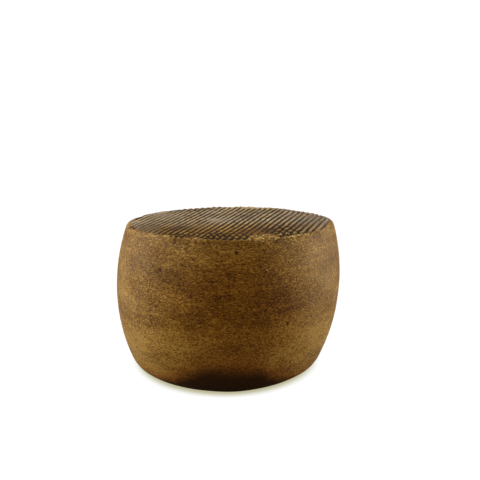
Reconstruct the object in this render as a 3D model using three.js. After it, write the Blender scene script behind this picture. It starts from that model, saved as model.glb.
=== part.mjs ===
// One whole, uncut wheel of pressed and aged cheese, in millimetres, +Z up.
//
// A wheel is pressed in a drum between two woven mats, so both faces are flat. It is then turned on
// its shelf for months: the side bellies out, the lower edge slumps into a broad round, and the
// faces end up a little out of parallel. It is one solid with a flat lower face to stand on.
// The origin is on the shelf, under the middle of the wheel as seen from above.
import * as THREE from "three";
import { mergeVertices } from "three/addons/utils/BufferGeometryUtils.js";

// Driving dimensions.
const MAX_DIAMETER = 220; // across the belly of the side
const HEIGHT = 141; // between the two faces, at the wheel's axis
const BELLY_HEIGHT = 81; // where the side is widest, above the shelf
const SIDE_ARC = 189; // radius of the side's arc, which stands upright at the belly
const UPPER_EDGE_ROUND = 4; // the edge that the press left nearly square
const LOWER_EDGE_ROUND = 19; // the edge that slumped

// How far this wheel is from a true turned shape.
const FACE_TILT = 0.006; // rise of the upper face per millimetre towards +X
const LEAN = 5; // how far the upper face has crept towards +X
const OVALITY = 0.004; // share of the radius added along OVAL_DIRECTION and lost across it
const OVAL_DIRECTION = THREE.MathUtils.degToRad(160);

// How finely the curves are divided.
const SEGMENTS_AROUND = 120;
const STEPS_LOWER_EDGE = 8;
const STEPS_SIDE = 16;
const STEPS_UPPER_EDGE = 3;

const sideCentreX = MAX_DIAMETER / 2 - SIDE_ARC; // the side arc's centre, at the belly's height

// Where an edge round touches the side arc from inside: the round's centre lies at a distance of
// SIDE_ARC - edgeRadius from the arc's centre. rise is its height above the belly.
function edgeRound(edgeRadius, rise) {
  const reach = SIDE_ARC - edgeRadius;
  const angle = Math.asin(rise / reach);
  return { centreX: sideCentreX + reach * Math.cos(angle), angle };
}

// Points along a circle's arc, without its first point.
function arcPoints(centreX, centreY, radius, fromAngle, toAngle, steps) {
  const points = [];
  for (let i = 1; i <= steps; i++) {
    const angle = THREE.MathUtils.lerp(fromAngle, toAngle, i / steps);
    points.push(new THREE.Vector2(centreX + radius * Math.cos(angle), centreY + radius * Math.sin(angle)));
  }
  return points;
}

// Half of the wheel's section, from the middle of the lower face round to the middle of the upper one.
function wheelSection() {
  const lower = edgeRound(LOWER_EDGE_ROUND, LOWER_EDGE_ROUND - BELLY_HEIGHT);
  const upper = edgeRound(UPPER_EDGE_ROUND, HEIGHT - UPPER_EDGE_ROUND - BELLY_HEIGHT);
  const right = Math.PI / 2;
  return [
    new THREE.Vector2(0, 0),
    new THREE.Vector2(lower.centreX, 0),
    ...arcPoints(lower.centreX, LOWER_EDGE_ROUND, LOWER_EDGE_ROUND, -right, lower.angle, STEPS_LOWER_EDGE),
    ...arcPoints(sideCentreX, BELLY_HEIGHT, SIDE_ARC, lower.angle, upper.angle, STEPS_SIDE),
    ...arcPoints(upper.centreX, HEIGHT - UPPER_EDGE_ROUND, UPPER_EDGE_ROUND, upper.angle, right, STEPS_UPPER_EDGE),
    new THREE.Vector2(0, HEIGHT),
  ];
}

// Moves a turned, upright wheel's points to where settling on the shelf has left them.
// The lower face stays in the plane of the shelf, and the upper face stays flat.
function settle(geometry) {
  const place = geometry.getAttribute("position");
  for (let i = 0; i < place.count; i++) {
    const angle = Math.atan2(place.getY(i), place.getX(i));
    const swell = 1 + OVALITY * Math.cos(2 * (angle - OVAL_DIRECTION));
    const level = place.getZ(i) / HEIGHT;
    const x = place.getX(i) * swell + LEAN * level;
    place.setXYZ(i, x, place.getY(i) * swell, place.getZ(i) + FACE_TILT * x * level);
  }
  return geometry;
}

// The lathe turns its section about Y, so the wheel is then stood upright.
function wheelGeometry() {
  const turned = new THREE.LatheGeometry(wheelSection(), SEGMENTS_AROUND);
  turned.rotateX(Math.PI / 2);
  turned.deleteAttribute("uv");
  turned.deleteAttribute("normal");
  const wheel = settle(mergeVertices(turned, 1e-4));
  wheel.computeBoundingBox();
  const middle = wheel.boundingBox.getCenter(new THREE.Vector3());
  wheel.translate(-middle.x, -middle.y, -wheel.boundingBox.min.z);
  wheel.computeVertexNormals();
  return wheel;
}

const rind = new THREE.MeshStandardMaterial({ color: 0x7a5527, roughness: 0.6, metalness: 0 });

const wheel = new THREE.Mesh(wheelGeometry(), rind);
wheel.name = "cheese_wheel";

const part = new THREE.Group();
part.add(wheel);

export default part;
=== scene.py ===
# The looks of one whole wheel of pressed, aged cheese with an oiled brown rind.
#
# The CAD solid holds the wheel's true form: flat faces, bellied side, slumped lower edge. Here a copy
# of it is divided finely, and the marks of the making are pressed into it: the print of the reed mats
# on both faces, the pits and beads of the mats' binding along the rim, the crumbs where the rim has
# broken, and on the side the folds of the cheesecloth and the pits and warts of an aged rind.
# Everything is in metres, in the CAD's frame. MM turns the millimetres that a maker measures in.
import math
import random
from collections import namedtuple

import bmesh
import bpy
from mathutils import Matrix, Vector, noise
from mathutils.kdtree import KDTree


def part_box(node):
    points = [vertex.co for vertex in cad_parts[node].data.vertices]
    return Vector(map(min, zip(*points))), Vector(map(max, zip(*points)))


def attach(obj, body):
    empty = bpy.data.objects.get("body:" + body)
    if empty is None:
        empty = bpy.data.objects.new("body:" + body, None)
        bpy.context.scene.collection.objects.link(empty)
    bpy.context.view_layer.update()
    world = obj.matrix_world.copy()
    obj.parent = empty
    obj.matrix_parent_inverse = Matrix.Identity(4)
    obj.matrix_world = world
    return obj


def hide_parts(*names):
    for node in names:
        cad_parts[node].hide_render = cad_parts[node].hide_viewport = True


MM = 0.001
SEED = 11

# How finely the skin is divided.
MERGE_DISTANCE = 0.001 * MM
SIDE_DIVISIONS = 2  # each one halves the CAD's quads
TOP_GRID = (0.62 * MM, 1.6 * MM)  # across the mat's reeds, and along them
BOTTOM_GRID = (0.85 * MM, 4.0 * MM)
SNAP = 0.03 * MM  # a grid line passes through a corner that is this near

# The mat that each face was pressed on: reeds lying side by side.
REED_PITCH = 5.55  # mm, between two reeds at the middle of the face
REED_DEPTH = 1.6  # mm, from a crest down to the groove that a reed left
REED_TURN = math.radians(14)  # the reeds of the upper mat, from +Y towards +X
LOWER_REED_TURN = math.radians(-38)
REED_FAN = 0.00085  # per mm: the reeds spread a little apart from front to back
NOTCH_PITCH = 6.4  # mm, between the nicks along one crest

# The threads that bind the mat's reeds near its edge. They leave a pit beside each reed and cut the
# ridges into beads, on the stretches of the rim that were pressed hardest.
FIRST_BINDING = 0.4  # mm inside the rim
BINDING_PITCH = 9.2  # mm, from one binding thread to the next
BINDING_HALF_WIDTH = 2.7
BEADED_STRETCHES = (
    (-158, -150, 6), (-118, -109, 15), (-101, -78, 24), (-64, -43, 30), (18, 47, 14), (96, 128, 24),
    (158, 174, 7),
)  # from one angle to another, in degrees round the rim, and mm in from the rim
# Where the cheese has slid and closed the print: from one angle to another, and mm in from the rim.
SMEARED_STRETCHES = ((-127, -103, 6.5), (-77, -62, 12.0), (62, 84, 9.0), (131, 149, 5.0))
CRUMBLED_STRETCHES = ((-80, -46), (60, 90))  # where it has broken into crumbs, in degrees
SMOOTH_PATCH = Vector((31, -70, 141))  # mm, a place on the upper face that was pressed less
SMOOTH_PATCH_SIZE = 19
MAT_REACH = 6  # mm, how far over the rim the mat's marks reach

# The side: creases a little below the upper rim, and pits and warts.
CREASED_STRETCHES = ((-122, -84), (20, 66))  # degrees round the rim
CREASE_DROP = 6.8  # mm below the upper rim
BLEMISHES = 30
DEEP_PITS = ((-85, 130), (-121, 113), (-62, 68), (40, 92), (118, 57), (165, 101))  # degrees round, mm up
DEEP_PIT = (1.5, -1.1)  # radius and height in mm

Disc = namedtuple("Disc", "middle reach up turn")


def smooth_step(low, high, value):
    """0 below low, 1 above high, and an even ease between them."""
    share = min(max((value - low) / (high - low), 0.0), 1.0)
    return share * share * (3 - 2 * share)


def wander(place, size, seed=0.0):
    """Smooth noise from about -1 to 1, with lumps of about that size in mm."""
    return noise.noise(place / size + Vector((seed * 17.3, seed * 5.9, seed * 11.1)))


def stretch_share(angle, stretches, ease=4.0):
    """1 inside any of the stretches of the rim, given in degrees, and 0 well outside them."""
    share = 0.0
    for start, end in stretches:
        middle = (start + end) / 2
        away = abs((math.degrees(angle) - middle + 180) % 360 - 180)
        share = max(share, 1 - smooth_step((end - start) / 2 - ease, (end - start) / 2 + ease, away))
    return share


# ---------------------------------------------------------------- the skin

def all_geometry(faces):
    """The faces with their edges and corners, as bisect_plane wants them."""
    edges = {e for f in faces for e in f.edges}
    verts = {v for f in faces for v in f.verts}
    return list(faces) + list(edges) + list(verts)


def merged_copy(node):
    """A CAD node's loose triangles as one closed skin of quads, with each flat face in one piece."""
    skin = bmesh.new()
    skin.from_mesh(node.data)
    bmesh.ops.remove_doubles(skin, verts=skin.verts, dist=MERGE_DISTANCE)
    skin.normal_update()
    for up in (1, -1):
        flat = [f for f in skin.faces if f.normal.z * up > 0.9995]
        bmesh.ops.dissolve_faces(skin, faces=flat, use_verts=False)
    bmesh.ops.join_triangles(
        skin, faces=skin.faces, angle_face_threshold=math.pi, angle_shape_threshold=math.pi
    )
    return skin


def flat_face(skin, up):
    """The one large flat face at the top (up = 1) or at the bottom (up = -1)."""
    skin.normal_update()
    return max(skin.faces, key=lambda f: f.calc_area() if f.normal.z * up > 0.9995 else 0)


def divide_side(skin):
    """Halves the side's quads and rounds them, which keeps the turned form without facets."""
    for _ in range(SIDE_DIVISIONS):
        bmesh.ops.subdivide_edges(skin, edges=skin.edges, cuts=1, use_grid_fill=True)
        held = {v for up in (1, -1) for v in flat_face(skin, up).verts}
        bmesh.ops.smooth_vert(
            skin, verts=[v for v in skin.verts if v not in held], factor=0.5,
            use_axis_x=True, use_axis_y=True, use_axis_z=True,
        )


def cut_strips(sheet, faces, direction, spacing):
    """Cuts flat faces at right angles to direction, once every spacing, and returns them all.
    Only what lies beyond the last cut is passed on to the next one."""
    reach = [v.co.dot(direction) for f in faces for v in f.verts]
    done = []
    for i in range(1, int((max(reach) - min(reach)) / spacing) + 1):
        place = min(reach) + i * spacing
        cut = bmesh.ops.bisect_plane(
            sheet, geom=all_geometry(faces), dist=SNAP, plane_co=direction * place, plane_no=direction
        )
        faces = []
        for face in cut["geom"]:
            if isinstance(face, bmesh.types.BMFace):
                beyond = face.calc_center_median().dot(direction) > place
                (faces if beyond else done).append(face)
    return done + faces


def grid_face(skin, up, turn, grid):
    """Puts a fine grid, which lies along the mat's reeds, in place of a flat face. Returns its Disc.
    The grid is cut on a sheet of its own, where each cut is quick, and then joined on at the side's
    corners. Its own corners between those stay loose, so the seam is open by a hairline."""
    face = flat_face(skin, up)
    corners = [v.co.copy() for v in face.verts]
    bmesh.ops.delete(skin, geom=[face], context="FACES_ONLY")
    sheet = bmesh.new()
    whole = sheet.faces.new([sheet.verts.new(corner) for corner in corners])
    along = Vector((math.sin(turn), math.cos(turn), 0))
    across = Vector((math.cos(turn), -math.sin(turn), 0))
    strips = cut_strips(sheet, [whole], along, grid[1])
    cut_strips(sheet, strips, across, grid[0])
    carrier = bpy.data.meshes.new("sheet")
    sheet.to_mesh(carrier)
    sheet.free()
    skin.from_mesh(carrier)
    bpy.data.meshes.remove(carrier)
    rims = [v for v in skin.verts if v.is_boundary]
    bmesh.ops.remove_doubles(skin, verts=rims, dist=MERGE_DISTANCE)
    middle = sum(corners, Vector()) / len(corners)
    reach = Vector([max(abs(c[i] - middle[i]) for c in corners) for i in range(2)])
    return Disc(middle / MM, reach / MM, up, turn)


# ---------------------------------------------------------------- the marks of the making

def inside_rim(place, disc):
    """How far inside the flat face's rim a place lies, in mm, and less than 0 beyond the rim."""
    arm = Vector(((place.x - disc.middle.x) / disc.reach.x, (place.y - disc.middle.y) / disc.reach.y))
    inset = (1 - arm.length) * disc.reach.x
    if inset >= 0:
        return inset
    return -math.hypot(inset, place.z - disc.middle.z)


def reed_print(place, disc):
    """The mat's print at a place on a face: how strong it is there, its height from 0 in a groove to
    1 on a crest, and the share of the pit that a binding thread could press there."""
    across = place.x * math.cos(disc.turn) - place.y * math.sin(disc.turn)
    along = place.x * math.sin(disc.turn) + place.y * math.cos(disc.turn)
    across -= REED_FAN * across * along
    across += 0.9 * wander(place, 38, 1) + 0.35 * wander(place, 9, 2)
    reed = round(across / REED_PITCH)
    lean = 2 * abs(across / REED_PITCH - reed)  # 0 on the crest, 1 in the groove
    own = wander(Vector((reed * 9.3, along, 3 * disc.up)), 26, 3)
    jog = wander(Vector((reed * 7.1, along, 5 * disc.up)), 11, 4)
    nick = 0.5 + 0.5 * math.cos(2 * math.pi * (along / NOTCH_PITCH + 0.5 * lean + 0.9 * jog + 0.37 * reed))
    height = 1 - smooth_step(0.22 + 0.16 * own, 0.95, lean)
    height *= 1 - 0.7 * nick ** 2 * (0.6 + 0.8 * jog)
    strength = 0.92 + 0.4 * own + 0.25 * wander(place, 24, 5)
    strength -= 0.4 * smooth_step(0.12, 0.55, wander(place, 43, 6))
    strength -= 0.3 * smooth_step(50, 95, abs(place.x))
    strength *= 1 - 0.5 * math.exp(-(((place - SMOOTH_PATCH).length / SMOOTH_PATCH_SIZE) ** 2))
    return max(strength, 0.12), height, smooth_step(0.35, 0.9, lean)


def binding_share(place, inset):
    """How near a place is to one of the binding threads, from 0 to 1."""
    rows = (inset - FIRST_BINDING - 0.9 * wander(place, 15, 8)) / BINDING_PITCH
    off = abs(rows - round(rows)) * BINDING_PITCH
    return math.exp(-((off / BINDING_HALF_WIDTH) ** 2))


def face_marks(place, angle, disc):
    """Height in mm, groove share and crest share that the mat left, on a face and over its rim. The groove
    share, binding pits included, is painted dark in the rind as dirt and painted shade.
    """
    inset = inside_rim(place, disc)
    if inset < -MAT_REACH:
        return 0.0, 0.0, 0.0
    beaded = 0.0
    for start, end, depth in BEADED_STRETCHES:
        here = stretch_share(angle, ((start, end),), ease=2.5)
        beaded = max(beaded, here * (1 - smooth_step(depth - 4, depth + 4, inset)))
    edge = -1.2 + 2.0 * wander(place, 13, 7) - 1.5 * beaded
    for start, end, depth in SMEARED_STRETCHES:
        edge += depth * stretch_share(angle, ((start, end),))
    share = smooth_step(edge - 1.0, edge + 3.0, inset)
    strength, height, pit = reed_print(place, disc)
    hard = 1 + 0.5 * (1 - smooth_step(2, 16, inset))  # the press bites hardest near the rim
    near_rim = beaded * smooth_step(-5.0, -3.0, inset)
    binding = near_rim * binding_share(place, inset)
    bridge = near_rim - binding  # between two threads the cheese has bulged and half closed the groove
    height *= 1 - 0.9 * binding
    depth = REED_DEPTH * strength * share * hard * (1 - 0.35 * bridge)
    pressed = depth * (1 - height) + 1.3 * binding * pit - 0.7 * bridge * height
    groove = max(share * strength * (1 - height) * (1 - 0.3 * bridge), 1.5 * binding * (0.2 + 0.8 * pit))
    lip = math.exp(-(((inset + 2.2) / 1.3) ** 2)) * smooth_step(-0.1, 0.3, wander(place, 17, 9))
    crest = share * height * min(strength, 1.0) + 0.7 * bridge * height
    return -pressed, min(groove, 1.0), min(max(crest, 0.9 * lip * (1 - min(groove, 1.0))), 1.0)


def side_marks(place, angle, top_inset):
    """Height in mm and groove share of the side's slow swell, its cloth folds and its creases. The groove
    share is painted dark in the rind, as painted shade in the folds and creases.
    """
    swell = 0.5 * wander(place, 62, 10) + 0.22 * wander(place, 24, 11)
    stretched = Vector((place.x, place.y, place.z * 9 + 2.5 * wander(place, 30, 17)))
    fold = wander(stretched, 78, 12)
    kept = smooth_step(0.0, 0.4, wander(place, 33, 13))
    sag = 1 - smooth_step(28, 52, place.z)
    fold_share = math.exp(-((fold / 0.045) ** 2)) * kept
    crease = stretch_share(angle, CREASED_STRETCHES, ease=12)
    crease *= math.exp(-(((top_inset + CREASE_DROP + 1.6 * wander(place, 21, 14)) / 1.9) ** 2))
    crease *= smooth_step(-0.3, 0.3, wander(place, 12, 18))
    height = swell - (0.16 + 0.16 * sag) * fold_share - 0.45 * crease
    return height, max(0.25 * fold_share, 0.33 * crease)


def rim_marks(place, angle, inset):
    """Height in mm of the uneven rim, and how crumbly it is. The rim itself is chipped in places.
    Where the print has slid shut, the cheese has broken into crumbs from well inside the rim to a
    little way down the side."""
    near = math.exp(-((inset / 5.0) ** 2))
    crumbled = stretch_share(angle, CRUMBLED_STRETCHES, ease=6)
    crumbs = crumbled * smooth_step(-7.5, -2.5, inset) * (1 - smooth_step(5, 17, inset))
    chipped = 0.6 * smooth_step(-0.15, 0.35, wander(place, 15, 20))
    crumbs = max(crumbs, chipped * math.exp(-(((inset + 1.5) / 2.6) ** 2)))
    lump = 0.6 * wander(place, 5.0, 15) + 0.6 * wander(place, 2.6, 16)
    height = near * (0.4 * wander(place, 9, 19) - 0.15) + crumbs * 1.5 * lump
    return height, crumbs


def blemish_tree(low, high):
    """The pits and warts of the side: a tree to find the nearest one by, and the radius and height of
    each in mm. Most are at random places."""
    draw = random.Random(SEED)
    spots = [(draw.uniform(-math.pi, math.pi), draw.uniform(20, 132)) for _ in range(BLEMISHES)]
    kinds = [(draw.uniform(0.9, 1.8), draw.choice((-0.7, -0.5, -0.4, 0.35))) for _ in spots]
    spots += [(math.radians(turn), level) for turn, level in DEEP_PITS]
    kinds += [DEEP_PIT] * len(DEEP_PITS)
    radius = (high.x - low.x) / 2 / MM
    tree = KDTree(len(spots))
    for i, (angle, level) in enumerate(spots):
        tree.insert(Vector((radius * math.cos(angle), radius * math.sin(angle), level)), i)
    tree.balance()
    return tree, kinds


def blemish_height(place, middle_radius, tree, kinds):
    """Height in mm of the pit or wart nearest to a place on the side."""
    flat = Vector((place.x, place.y, 0)).normalized() * middle_radius
    _, index, distance = tree.find(Vector((flat.x, flat.y, place.z)))
    radius, height = kinds[index]
    return height * math.exp(-((distance / radius) ** 2))


def press_marks(skin, discs, low, high):
    """Moves every corner of the skin along its normal by the marks, and keeps what each one is."""
    groove_layer = skin.verts.layers.float.new("groove")
    crest_layer = skin.verts.layers.float.new("crest")
    mat_layer = skin.verts.layers.float.new("mat")
    crumb_layer = skin.verts.layers.float.new("crumb")
    tree, kinds = blemish_tree(low, high)
    middle_radius = (high.x - low.x) / 2 / MM
    skin.normal_update()
    for vert in skin.verts:
        place = vert.co / MM
        angle = math.atan2(place.y, place.x)
        disc = discs[0] if place.z > high.z / MM / 2 else discs[1]
        inset = inside_rim(place, disc)
        face_height, groove, crest = face_marks(place, angle, disc)
        on_face = smooth_step(-2.0, 1.5, inset)
        side_height, side_groove = side_marks(place, angle, inset if disc.up > 0 else -99)
        blemish = blemish_height(place, middle_radius, tree, kinds) * (1 - on_face)
        height = face_height + (1 - on_face) * side_height + blemish
        if disc.up > 0:
            rim_height, vert[crumb_layer] = rim_marks(place, angle, inset)
            height += rim_height
        # the groove share, pits of the blemishes included, is painted dark in the rind as dirt and painted
        # shade
        vert[groove_layer] = min(max(groove, side_groove * (1 - on_face), -0.8 * blemish), 1.0)
        vert[crest_layer] = crest
        vert[mat_layer] = on_face
        vert.co += vert.normal * height * MM
        vert.co.z = max(vert.co.z, low.z)


def wheel_piece(node, low, high):
    """The whole wheel as one finely pressed skin, with open hairline seams at both rims."""
    skin = merged_copy(node)
    divide_side(skin)
    discs = [
        grid_face(skin, 1, REED_TURN, TOP_GRID),
        grid_face(skin, -1, LOWER_REED_TURN, BOTTOM_GRID),
    ]
    press_marks(skin, discs, low, high)
    bmesh.ops.recalc_face_normals(skin, faces=skin.faces)
    for face in skin.faces:
        face.smooth = True
    mesh = bpy.data.meshes.new("pressed_wheel")
    skin.to_mesh(mesh)
    skin.free()
    wheel = bpy.data.objects.new("pressed_wheel", mesh)
    bpy.context.scene.collection.objects.link(wheel)
    return wheel


# ---------------------------------------------------------------- the rind

def linear(hex_colour):
    """An sRGB hex colour, such as "8f6a36", as linear RGBA."""
    channels = [int(hex_colour[i:i + 2], 16) / 255 for i in (0, 2, 4)]
    return [c / 12.92 if c <= 0.04045 else ((c + 0.055) / 1.055) ** 2.4 for c in channels] + [1.0]


def add(tree, kind, inputs, out=0, **settings):
    """Adds a shader node with its settings, and returns one of its outputs. Its inputs are in order,
    or by name or number, and each is a constant or another node's output."""
    made = tree.nodes.new("ShaderNode" + kind)
    for name, value in settings.items():
        setattr(made, name, value)
    for name, value in inputs.items() if isinstance(inputs, dict) else enumerate(inputs):
        if isinstance(value, bpy.types.NodeSocket):
            tree.links.new(value, made.inputs[name])
        else:
            made.inputs[name].default_value = value
    return made.outputs[out]


# Settings that many nodes share. A MapRange takes its value, the range it comes from (0 to 1 if not
# given) and the range it goes to (0 to 1 if not given).
EASED = {"interpolation_type": "SMOOTHSTEP"}
TIMES = {"operation": "MULTIPLY"}
TIMES_AND_ADD = {"operation": "MULTIPLY_ADD"}
LARGER = {"operation": "MAXIMUM"}

RIND_DARK = linear("2c1302")
RIND_BROWN = linear("6c4712")
RIND_TAN = linear("a07c3a")
# warm tint at the middle of the front of the side: partly oil, partly painted shade
OIL_AND_SHADE_TINT = linear("ffecc6")
# near black: dirt and painted shade in grooves, creases, pits and between crumbs, and the dark specks
DIRT_AND_SHADE_BROWN = linear("1e0c02")
CREST_BLOOM = linear("aa8442")
# painted sheen: the grey of grazing reflections of the white room, at both ends of the wheel and the back
# of the upper face
PAINTED_SHEEN_GREY = linear("d2c6aa")
CRUMB_PALE = linear("c4a35c")
# painted shade under the lower round: first a redder tint, then near black
UNDERSIDE_SHADE_TINT = linear("e8b878")
UNDERSIDE_PAINTED_SHADE = linear("200500")
PALE_FLECK = linear("c9b184")
WAX_SHEEN = linear("ffe4a8")
OIL_AND_SHADE_PLACE = Vector((12, -104, 82)) * MM  # the middle of the front of the side: oil rubbed in there, and painted shade
OIL_AND_SHADE_SIZE = 75 * MM
CLOTH_THREAD = 1.9 * MM  # cheesecloth is 1 to 1.5 mm, drawn a little coarser so that it shows
SPECK_SPACING = 16 * MM
FLECK_SPACING = 19 * MM
BUMP_HEIGHT = 0.12 * MM


def cloud(tree, where, size, detail, seed, flatness=1.0, slant=0.0):
    """Soft noise, 0 to 1, with lumps of about that size in mm. They can be flatter than wide, and
    slant by some degrees on the front of the side."""
    moved = add(
        tree, "Mapping",
        {
            "Vector": where, "Location": (seed, seed * 0.7, seed * 1.3),
            "Rotation": (0, math.radians(slant), 0), "Scale": (1, 1, flatness),
        },
    )
    scale = 0.5 / (size * MM)
    return add(tree, "TexNoise", {"Vector": moved, "Scale": scale, "Detail": detail, "Roughness": 0.55})


def cloth_print(tree, where, parts, mat, radius):
    """The cloth's two sets of threads, which cross the side on the slant. A whole number of threads
    goes round, and the faces have none."""
    turn = add(tree, "Math", (parts[1], parts[0]), operation="ARCTAN2")
    slant = 2 * math.pi / (CLOTH_THREAD * math.sqrt(2))
    waver = add(tree, "Math", (cloud(tree, where, size=9, detail=2, seed=3.1), 7.0), **TIMES)
    around = add(tree, "Math", (turn, round(slant * radius), waver), **TIMES_AND_ADD)
    rising = add(tree, "Math", (parts[2], slant), **TIMES)
    warp = add(tree, "Math", [add(tree, "Math", (around, rising))], operation="SINE")
    falling = add(tree, "Math", (around, rising), operation="SUBTRACT")
    weft = add(tree, "Math", [falling], operation="SINE")
    on_side = add(tree, "Math", (mat, -1.0, 1.0), **TIMES_AND_ADD)
    return add(tree, "Math", (add(tree, "Math", (warp, weft), **LARGER), on_side), **TIMES)


def crazing(tree, where):
    """The hairlines of the dried skin, 7 mm or so apart. They lie mostly flat, and only in places."""
    flat = add(tree, "Mapping", {"Vector": where, "Scale": (1, 1, 2.6)})
    bend = add(tree, "TexNoise", {"Vector": where, "Scale": 0.5 / (6 * MM), "Detail": 2.0}, out="Color")
    bend = add(tree, "VectorMath", (bend, (4 * MM, 4 * MM, 4 * MM)), **TIMES)
    bent = add(tree, "VectorMath", (flat, bend))
    cells = add(
        tree, "TexVoronoi", {"Vector": bent, "Scale": 1 / (7 * MM)}, out="Distance",
        feature="DISTANCE_TO_EDGE",
    )
    lines = add(tree, "MapRange", (cells, 0.0, 0.09, 1.0, 0.0), **EASED)
    places = cloud(tree, where, size=18, detail=2, seed=6.6)
    places = add(tree, "MapRange", (places, 0.42, 0.6), **EASED)
    return add(tree, "Math", (lines, places), **TIMES)


def tone_layers(tree, where, parts, mat, cloth, mottle, grain):
    """The rind itself. One tone from dark to pale drives its colour: clouds of oil and dust, streaks, the
    mottle of the rind's moulds, and a fine grain. The upper face is painted darker, as painted shade, and
    the side paler towards the bottom, as painted light; the middle of the front is painted warmer, partly
    for oil and partly as painted shade."""
    clouds = cloud(tree, where, size=26, detail=5, seed=1.7, flatness=1.9)
    streaks = cloud(tree, where, size=16, detail=3, seed=2.9, flatness=7.5, slant=-7)
    # warmer and a little darker at the front's middle: oil rubbed in, and painted shade
    from_oil_and_shade = add(tree, "VectorMath", (where, OIL_AND_SHADE_PLACE), out="Value", operation="DISTANCE")
    oil_and_shade = add(tree, "MapRange", (from_oil_and_shade, 20 * MM, OIL_AND_SHADE_SIZE, 1.0, 0.0), **EASED)
    shares = (
        (add(tree, "MapRange", (clouds, 0.3, 0.7, -0.5, 0.5), **EASED), 0.3),
        (add(tree, "MapRange", (streaks, 0.28, 0.72, -0.5, 0.5), **EASED), 0.15),
        (mottle, 0.15),
        (grain, 0.92),
        (crazing(tree, where), -0.2),
        # the upper face painted darker: painted shade
        (mat, -0.19),
        (cloth, 0.06),
        (oil_and_shade, -0.02),
        # the side painted paler towards the bottom: painted light on the lower side
        (add(tree, "MapRange", (parts[2], 36 * MM, 80 * MM, 1.0, 0.0), **EASED), 0.24),
    )
    tone = 0.5
    for pattern, share in shares:
        tone = add(tree, "Math", (pattern, share, tone), **TIMES_AND_ADD)
    return [
        (RIND_BROWN, add(tree, "MapRange", (tone, 0.0, 0.5), **EASED), "MIX"),
        (RIND_TAN, add(tree, "MapRange", (tone, 0.5, 1.0), **EASED), "MIX"),
        (OIL_AND_SHADE_TINT, oil_and_shade, "MULTIPLY"),
    ]


def print_layers(tree, where, parts, marks, crumbs):
    """What lies on the mat's print: pale bloom on the crests, painted sheen in grey towards both ends and
    the back, pale crumbs along the broken rim, and dirt and painted shade in the grooves, creases and pits
    and between the crumbs."""
    bloom = add(tree, "Math", (marks["crest"], cloud(tree, where, size=7, detail=3, seed=6.1)), **TIMES)
    aside = add(tree, "Math", [parts[0]], operation="ABSOLUTE")
    # painted sheen towards both ends, and towards the back of the upper face
    sides = add(tree, "MapRange", (aside, 45 * MM, 98 * MM, 0.0, 0.5), **EASED)
    behind = add(tree, "MapRange", (parts[1], -62 * MM, -5 * MM, 0.0, 0.5), **EASED)
    behind = add(tree, "Math", (behind, marks["mat"]), **TIMES)
    sheen_patches = add(tree, "Math", (marks["mat"], 0.22), **LARGER)
    sheen_patches = add(tree, "Math", (sheen_patches, cloud(tree, where, size=12, detail=3, seed=3.3)), **TIMES)
    painted_sheen = add(tree, "Math", (add(tree, "Math", (sides, behind), **LARGER), sheen_patches), **TIMES)
    pale = add(tree, "MapRange", (crumbs, 0.5, 0.66, 0.0, 0.9), **EASED)
    # painted shade between the crumbs
    crumb_gap_shade = add(tree, "MapRange", (crumbs, 0.33, 0.46, 0.7, 0.0), **EASED)
    crumb_gap_shade = add(tree, "Math", (marks["crumb"], crumb_gap_shade), **TIMES)
    # groove share painted near black as dirt and painted shade, with less of it towards both ends, where
    # the side lights fall
    dirt_and_shade = add(tree, "MapRange", (marks["groove"], 0.08, 0.62, 0.0, 0.97), **EASED)
    dirt_and_shade = add(tree, "Math", (dirt_and_shade, add(tree, "Math", (sides, -0.4, 1.0), **TIMES_AND_ADD)), **TIMES)
    return [
        (CREST_BLOOM, add(tree, "MapRange", (bloom, 0.2, 0.62, 0.0, 0.58), **EASED), "MIX"),
        (PAINTED_SHEEN_GREY, painted_sheen, "MIX"),
        (CRUMB_PALE, add(tree, "Math", (marks["crumb"], pale), **TIMES), "MIX"),
        (DIRT_AND_SHADE_BROWN, add(tree, "Math", (dirt_and_shade, crumb_gap_shade), **LARGER), "MIX"),
    ]


def spot_layers(tree, where, parts):
    """Dark specks, pale flecks, and painted shade under the lower round, which turns the colour redder and
    then nearly black. The painted shade reaches highest at the middle of the front and of the back."""
    speck = add(tree, "TexVoronoi", {"Vector": where, "Scale": 1 / SPECK_SPACING}, out="Distance")
    fleck = add(tree, "TexVoronoi", {"Vector": where, "Scale": 1 / FLECK_SPACING}, out="Distance")
    aside = add(tree, "Math", [parts[0]], operation="ABSOLUTE")
    # the painted shade's ragged edge rises towards the middle of the front and of the back
    lower = add(tree, "MapRange", (aside, 14 * MM, 72 * MM, 0.0, 28 * MM), **EASED)
    ragged = cloud(tree, where, size=9, detail=4, seed=9.4)
    edge = add(tree, "Math", (ragged, 14 * MM, parts[2]), **TIMES_AND_ADD)
    edge = add(tree, "Math", (edge, lower))
    return [
        (DIRT_AND_SHADE_BROWN, add(tree, "MapRange", (speck, 0.03, 0.055, 0.85, 0.0), **EASED), "MIX"),
        (PALE_FLECK, add(tree, "MapRange", (fleck, 0.02, 0.04, 0.7, 0.0), **EASED), "MIX"),
        # painted shade under the lower round
        (UNDERSIDE_SHADE_TINT, add(tree, "MapRange", (edge, 30 * MM, 60 * MM, 0.9, 0.0), **EASED), "MULTIPLY"),
        (UNDERSIDE_PAINTED_SHADE, add(tree, "MapRange", (edge, 26 * MM, 46 * MM, 0.98, 0.0), **EASED), "MIX"),
    ]


def rind_relief(tree, cloth, grain, mottle, crumbs, crumb):
    """The fine unevenness of the rind, which is too small to cut into the skin."""
    relief = add(tree, "Math", (cloth, 0.35), **TIMES)
    relief = add(tree, "Math", (grain, 0.7, relief), **TIMES_AND_ADD)
    relief = add(tree, "Math", (mottle, 0.5, relief), **TIMES_AND_ADD)
    lumps = add(tree, "Math", (crumbs, 9.0), **TIMES)
    relief = add(tree, "Math", (lumps, crumb, relief), **TIMES_AND_ADD)
    return add(tree, "Bump", {"Height": relief, "Distance": BUMP_HEIGHT, "Strength": 1.0})


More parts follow.
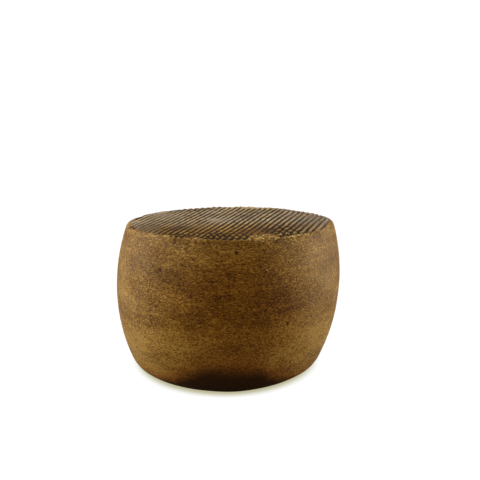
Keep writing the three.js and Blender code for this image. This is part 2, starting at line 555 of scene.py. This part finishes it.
def rind_material(radius):
    """Natural rind, aged for months and rubbed with oil: satin brown, clouded and mottled, nearly black in
    the grooves with dirt and painted shade, paler where the crests have dried, and greyer towards both
    ends and the back with painted sheen."""
    rind = bpy.data.materials.new("oiled_natural_rind")
    rind.use_nodes = True
    tree = rind.node_tree
    where = add(tree, "TexCoord", {}, out="Object")
    parts = [add(tree, "SeparateXYZ", [where], out=axis) for axis in range(3)]
    marks = {
        name: add(tree, "Attribute", {}, out="Fac", attribute_name=name)
        for name in ("groove", "crest", "mat", "crumb")
    }
    cloth = cloth_print(tree, where, parts, marks["mat"], radius)
    mottle = cloud(tree, where, size=3.4, detail=3, seed=2.3, flatness=2.6)
    mottle = add(tree, "MapRange", (mottle, 0.25, 0.75, -0.5, 0.5), **EASED)
    grain = cloud(tree, where, size=1.0, detail=3, seed=4.1, flatness=2.7)
    grain = add(tree, "MapRange", (grain, 0.25, 0.75, -0.5, 0.5), **EASED)
    crumbs = cloud(tree, where, size=1.25, detail=2, seed=6.9, flatness=1.4)

    layers = tone_layers(tree, where, parts, marks["mat"], cloth, mottle, grain)
    layers += print_layers(tree, where, parts, marks, crumbs)
    layers += spot_layers(tree, where, parts)
    colour = RIND_DARK
    for over, share, blend in layers:
        inputs = {0: share, 6: colour, 7: over}
        colour = add(tree, "Mix", inputs, out=2, data_type="RGBA", blend_type=blend)

    satin = cloud(tree, where, size=6, detail=3, seed=8.7)
    satin = add(tree, "MapRange", (satin, 0.3, 0.7, 0.52, 0.64), **EASED)
    shader = tree.nodes["Principled BSDF"]
    tree.links.new(colour, shader.inputs["Base Color"])
    roughness = add(tree, "Math", (marks["groove"], 0.3, satin), **TIMES_AND_ADD)
    tree.links.new(roughness, shader.inputs["Roughness"])
    relief = rind_relief(tree, cloth, grain, mottle, crumbs, marks["crumb"])
    tree.links.new(relief, shader.inputs["Normal"])
    shader.inputs["IOR"].default_value = 1.42
    shader.inputs["Specular IOR Level"].default_value = 0.3
    shader.inputs["Specular Tint"].default_value = WAX_SHEEN
    return rind


# ---------------------------------------------------------------- the studio

SOFTBOX_SIZE = 0.7
SOFTBOXES = (  # name, place and watts
    ("left_softbox", Vector((-0.95, -0.05, 0.35)), 5.7),
    ("left_high_softbox", Vector((-0.6, 0.1, 0.8)), 3.0),
    ("left_front_softbox", Vector((-0.75, -0.3, 0.65)), 8.4),
    ("right_softbox", Vector((0.95, -0.05, 0.35)), 10.8),
    ("right_high_softbox", Vector((0.6, 0.1, 0.8)), 3.6),
    ("back_high_softbox", Vector((0.0, 0.55, 0.9)), 1.6),
)
FLOOR_RADIUS = 6.0
PAPER_SHADE = linear("bdb997")  # white paper where the wheel keeps the light off it
PAPER_LIT = (1.05, 1.05, 1.05, 1)
PAPER_BOUNCE = (0.3, 0.24, 0.15, 1)
CONTACT_REACH = 0.025  # how far from the wheel the paper is shaded
ROOM_WHITE = 1.05

LENS = 37.62
SENSOR_WIDTH = 36.0
EYE_PLACE = Vector((0.053, -2.231, 0.9885))  # from under the wheel's middle, in wheel widths
EYE_TILT = math.radians(11.27)  # down from level


def softbox(name, place, target, power):
    """A square soft light that looks from one place at another."""
    data = bpy.data.lights.new(name, "AREA")
    data.size = SOFTBOX_SIZE
    data.energy = power
    lamp = bpy.data.objects.new(name, data)
    lamp.location = place
    lamp.rotation_euler = (target - place).to_track_quat("-Z", "Y").to_euler()
    bpy.context.scene.collection.objects.link(lamp)


def paper_material():
    """White paper. The eye sees it bright, with a warm shade close round the wheel. It throws only a
    part of its light back onto the wheel, as the picture is exposed for the dark rind."""
    paper = bpy.data.materials.new("white_paper")
    paper.use_nodes = True
    tree = paper.node_tree
    tree.nodes.remove(tree.nodes["Principled BSDF"])
    open_sky = add(tree, "AmbientOcclusion", {"Distance": CONTACT_REACH}, out="AO", samples=16)
    level = add(tree, "MapRange", (open_sky, 0.15, 0.45))
    shade = add(tree, "Mix", {0: level, 6: PAPER_SHADE, 7: PAPER_LIT}, out=2, data_type="RGBA")
    bright = add(tree, "Emission", {"Color": shade})
    dull = add(tree, "BsdfDiffuse", {"Color": PAPER_BOUNCE})
    seen = add(tree, "LightPath", {}, out="Is Camera Ray")
    both = add(tree, "MixShader", (seen, dull, bright))
    tree.links.new(both, tree.nodes["Material Output"].inputs["Surface"])
    return paper


def floor_piece():
    """A wide floor of white paper under the wheel."""
    skin = bmesh.new()
    bmesh.ops.create_circle(skin, cap_ends=True, segments=96, radius=FLOOR_RADIUS)
    mesh = bpy.data.meshes.new("floor")
    skin.to_mesh(mesh)
    skin.free()
    floor = bpy.data.objects.new("floor", mesh)
    bpy.context.scene.collection.objects.link(floor)
    mesh.materials.append(paper_material())


def white_room():
    """The studio's walls: white to the eye, with a faint glow from the back and none from the front."""
    world = bpy.data.worlds.new("white_room")
    bpy.context.scene.world = world
    world.use_nodes = True
    tree = world.node_tree
    back = tree.nodes["Background"]
    way = add(tree, "TexCoord", {}, out="Generated")
    depth = add(tree, "SeparateXYZ", [way], out="Y")
    glow = add(tree, "MapRange", (depth, -0.6, 0.5, 0.0, 0.004))
    seen = add(tree, "LightPath", {}, out="Is Camera Ray")
    level = add(tree, "Mix", {0: seen, 2: glow, 3: ROOM_WHITE}, data_type="FLOAT")
    tree.links.new(level, back.inputs["Strength"])
    back.inputs["Color"].default_value = (1, 1, 1, 1)


def studio(low, high):
    """White room and floor, and soft lights at both sides, above them, and high behind."""
    white_room()
    floor_piece()
    for name, place, power in SOFTBOXES:
        softbox(name, place, (low + high) / 2, power)


def camera(low, high):
    """Looks along +Y from a little above the wheel, with the wheel left of the middle."""
    data = bpy.data.cameras.new("camera")
    data.lens = LENS
    data.sensor_width = SENSOR_WIDTH
    eye = bpy.data.objects.new("camera", data)
    under = Vector(((low.x + high.x) / 2, 0, low.z))
    eye.location = under + EYE_PLACE * (high.x - low.x)
    eye.rotation_euler = (math.radians(90) - EYE_TILT, 0, 0)
    bpy.context.scene.collection.objects.link(eye)
    bpy.context.scene.camera = eye


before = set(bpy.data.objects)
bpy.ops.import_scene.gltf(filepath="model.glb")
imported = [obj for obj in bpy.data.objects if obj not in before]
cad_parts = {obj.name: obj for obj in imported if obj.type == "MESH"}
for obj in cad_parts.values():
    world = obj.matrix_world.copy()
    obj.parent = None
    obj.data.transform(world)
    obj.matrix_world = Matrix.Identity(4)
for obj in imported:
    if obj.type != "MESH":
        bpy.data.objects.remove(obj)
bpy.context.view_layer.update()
lowest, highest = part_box("cheese_wheel")

camera(lowest, highest)
wheel = wheel_piece(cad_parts["cheese_wheel"], lowest, highest)
wheel.data.materials.append(rind_material((highest.x - lowest.x) / 2))
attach(wheel, "root")
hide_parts("cheese_wheel")
studio(lowest, highest)
bpy.context.scene.view_settings.view_transform = "Standard"
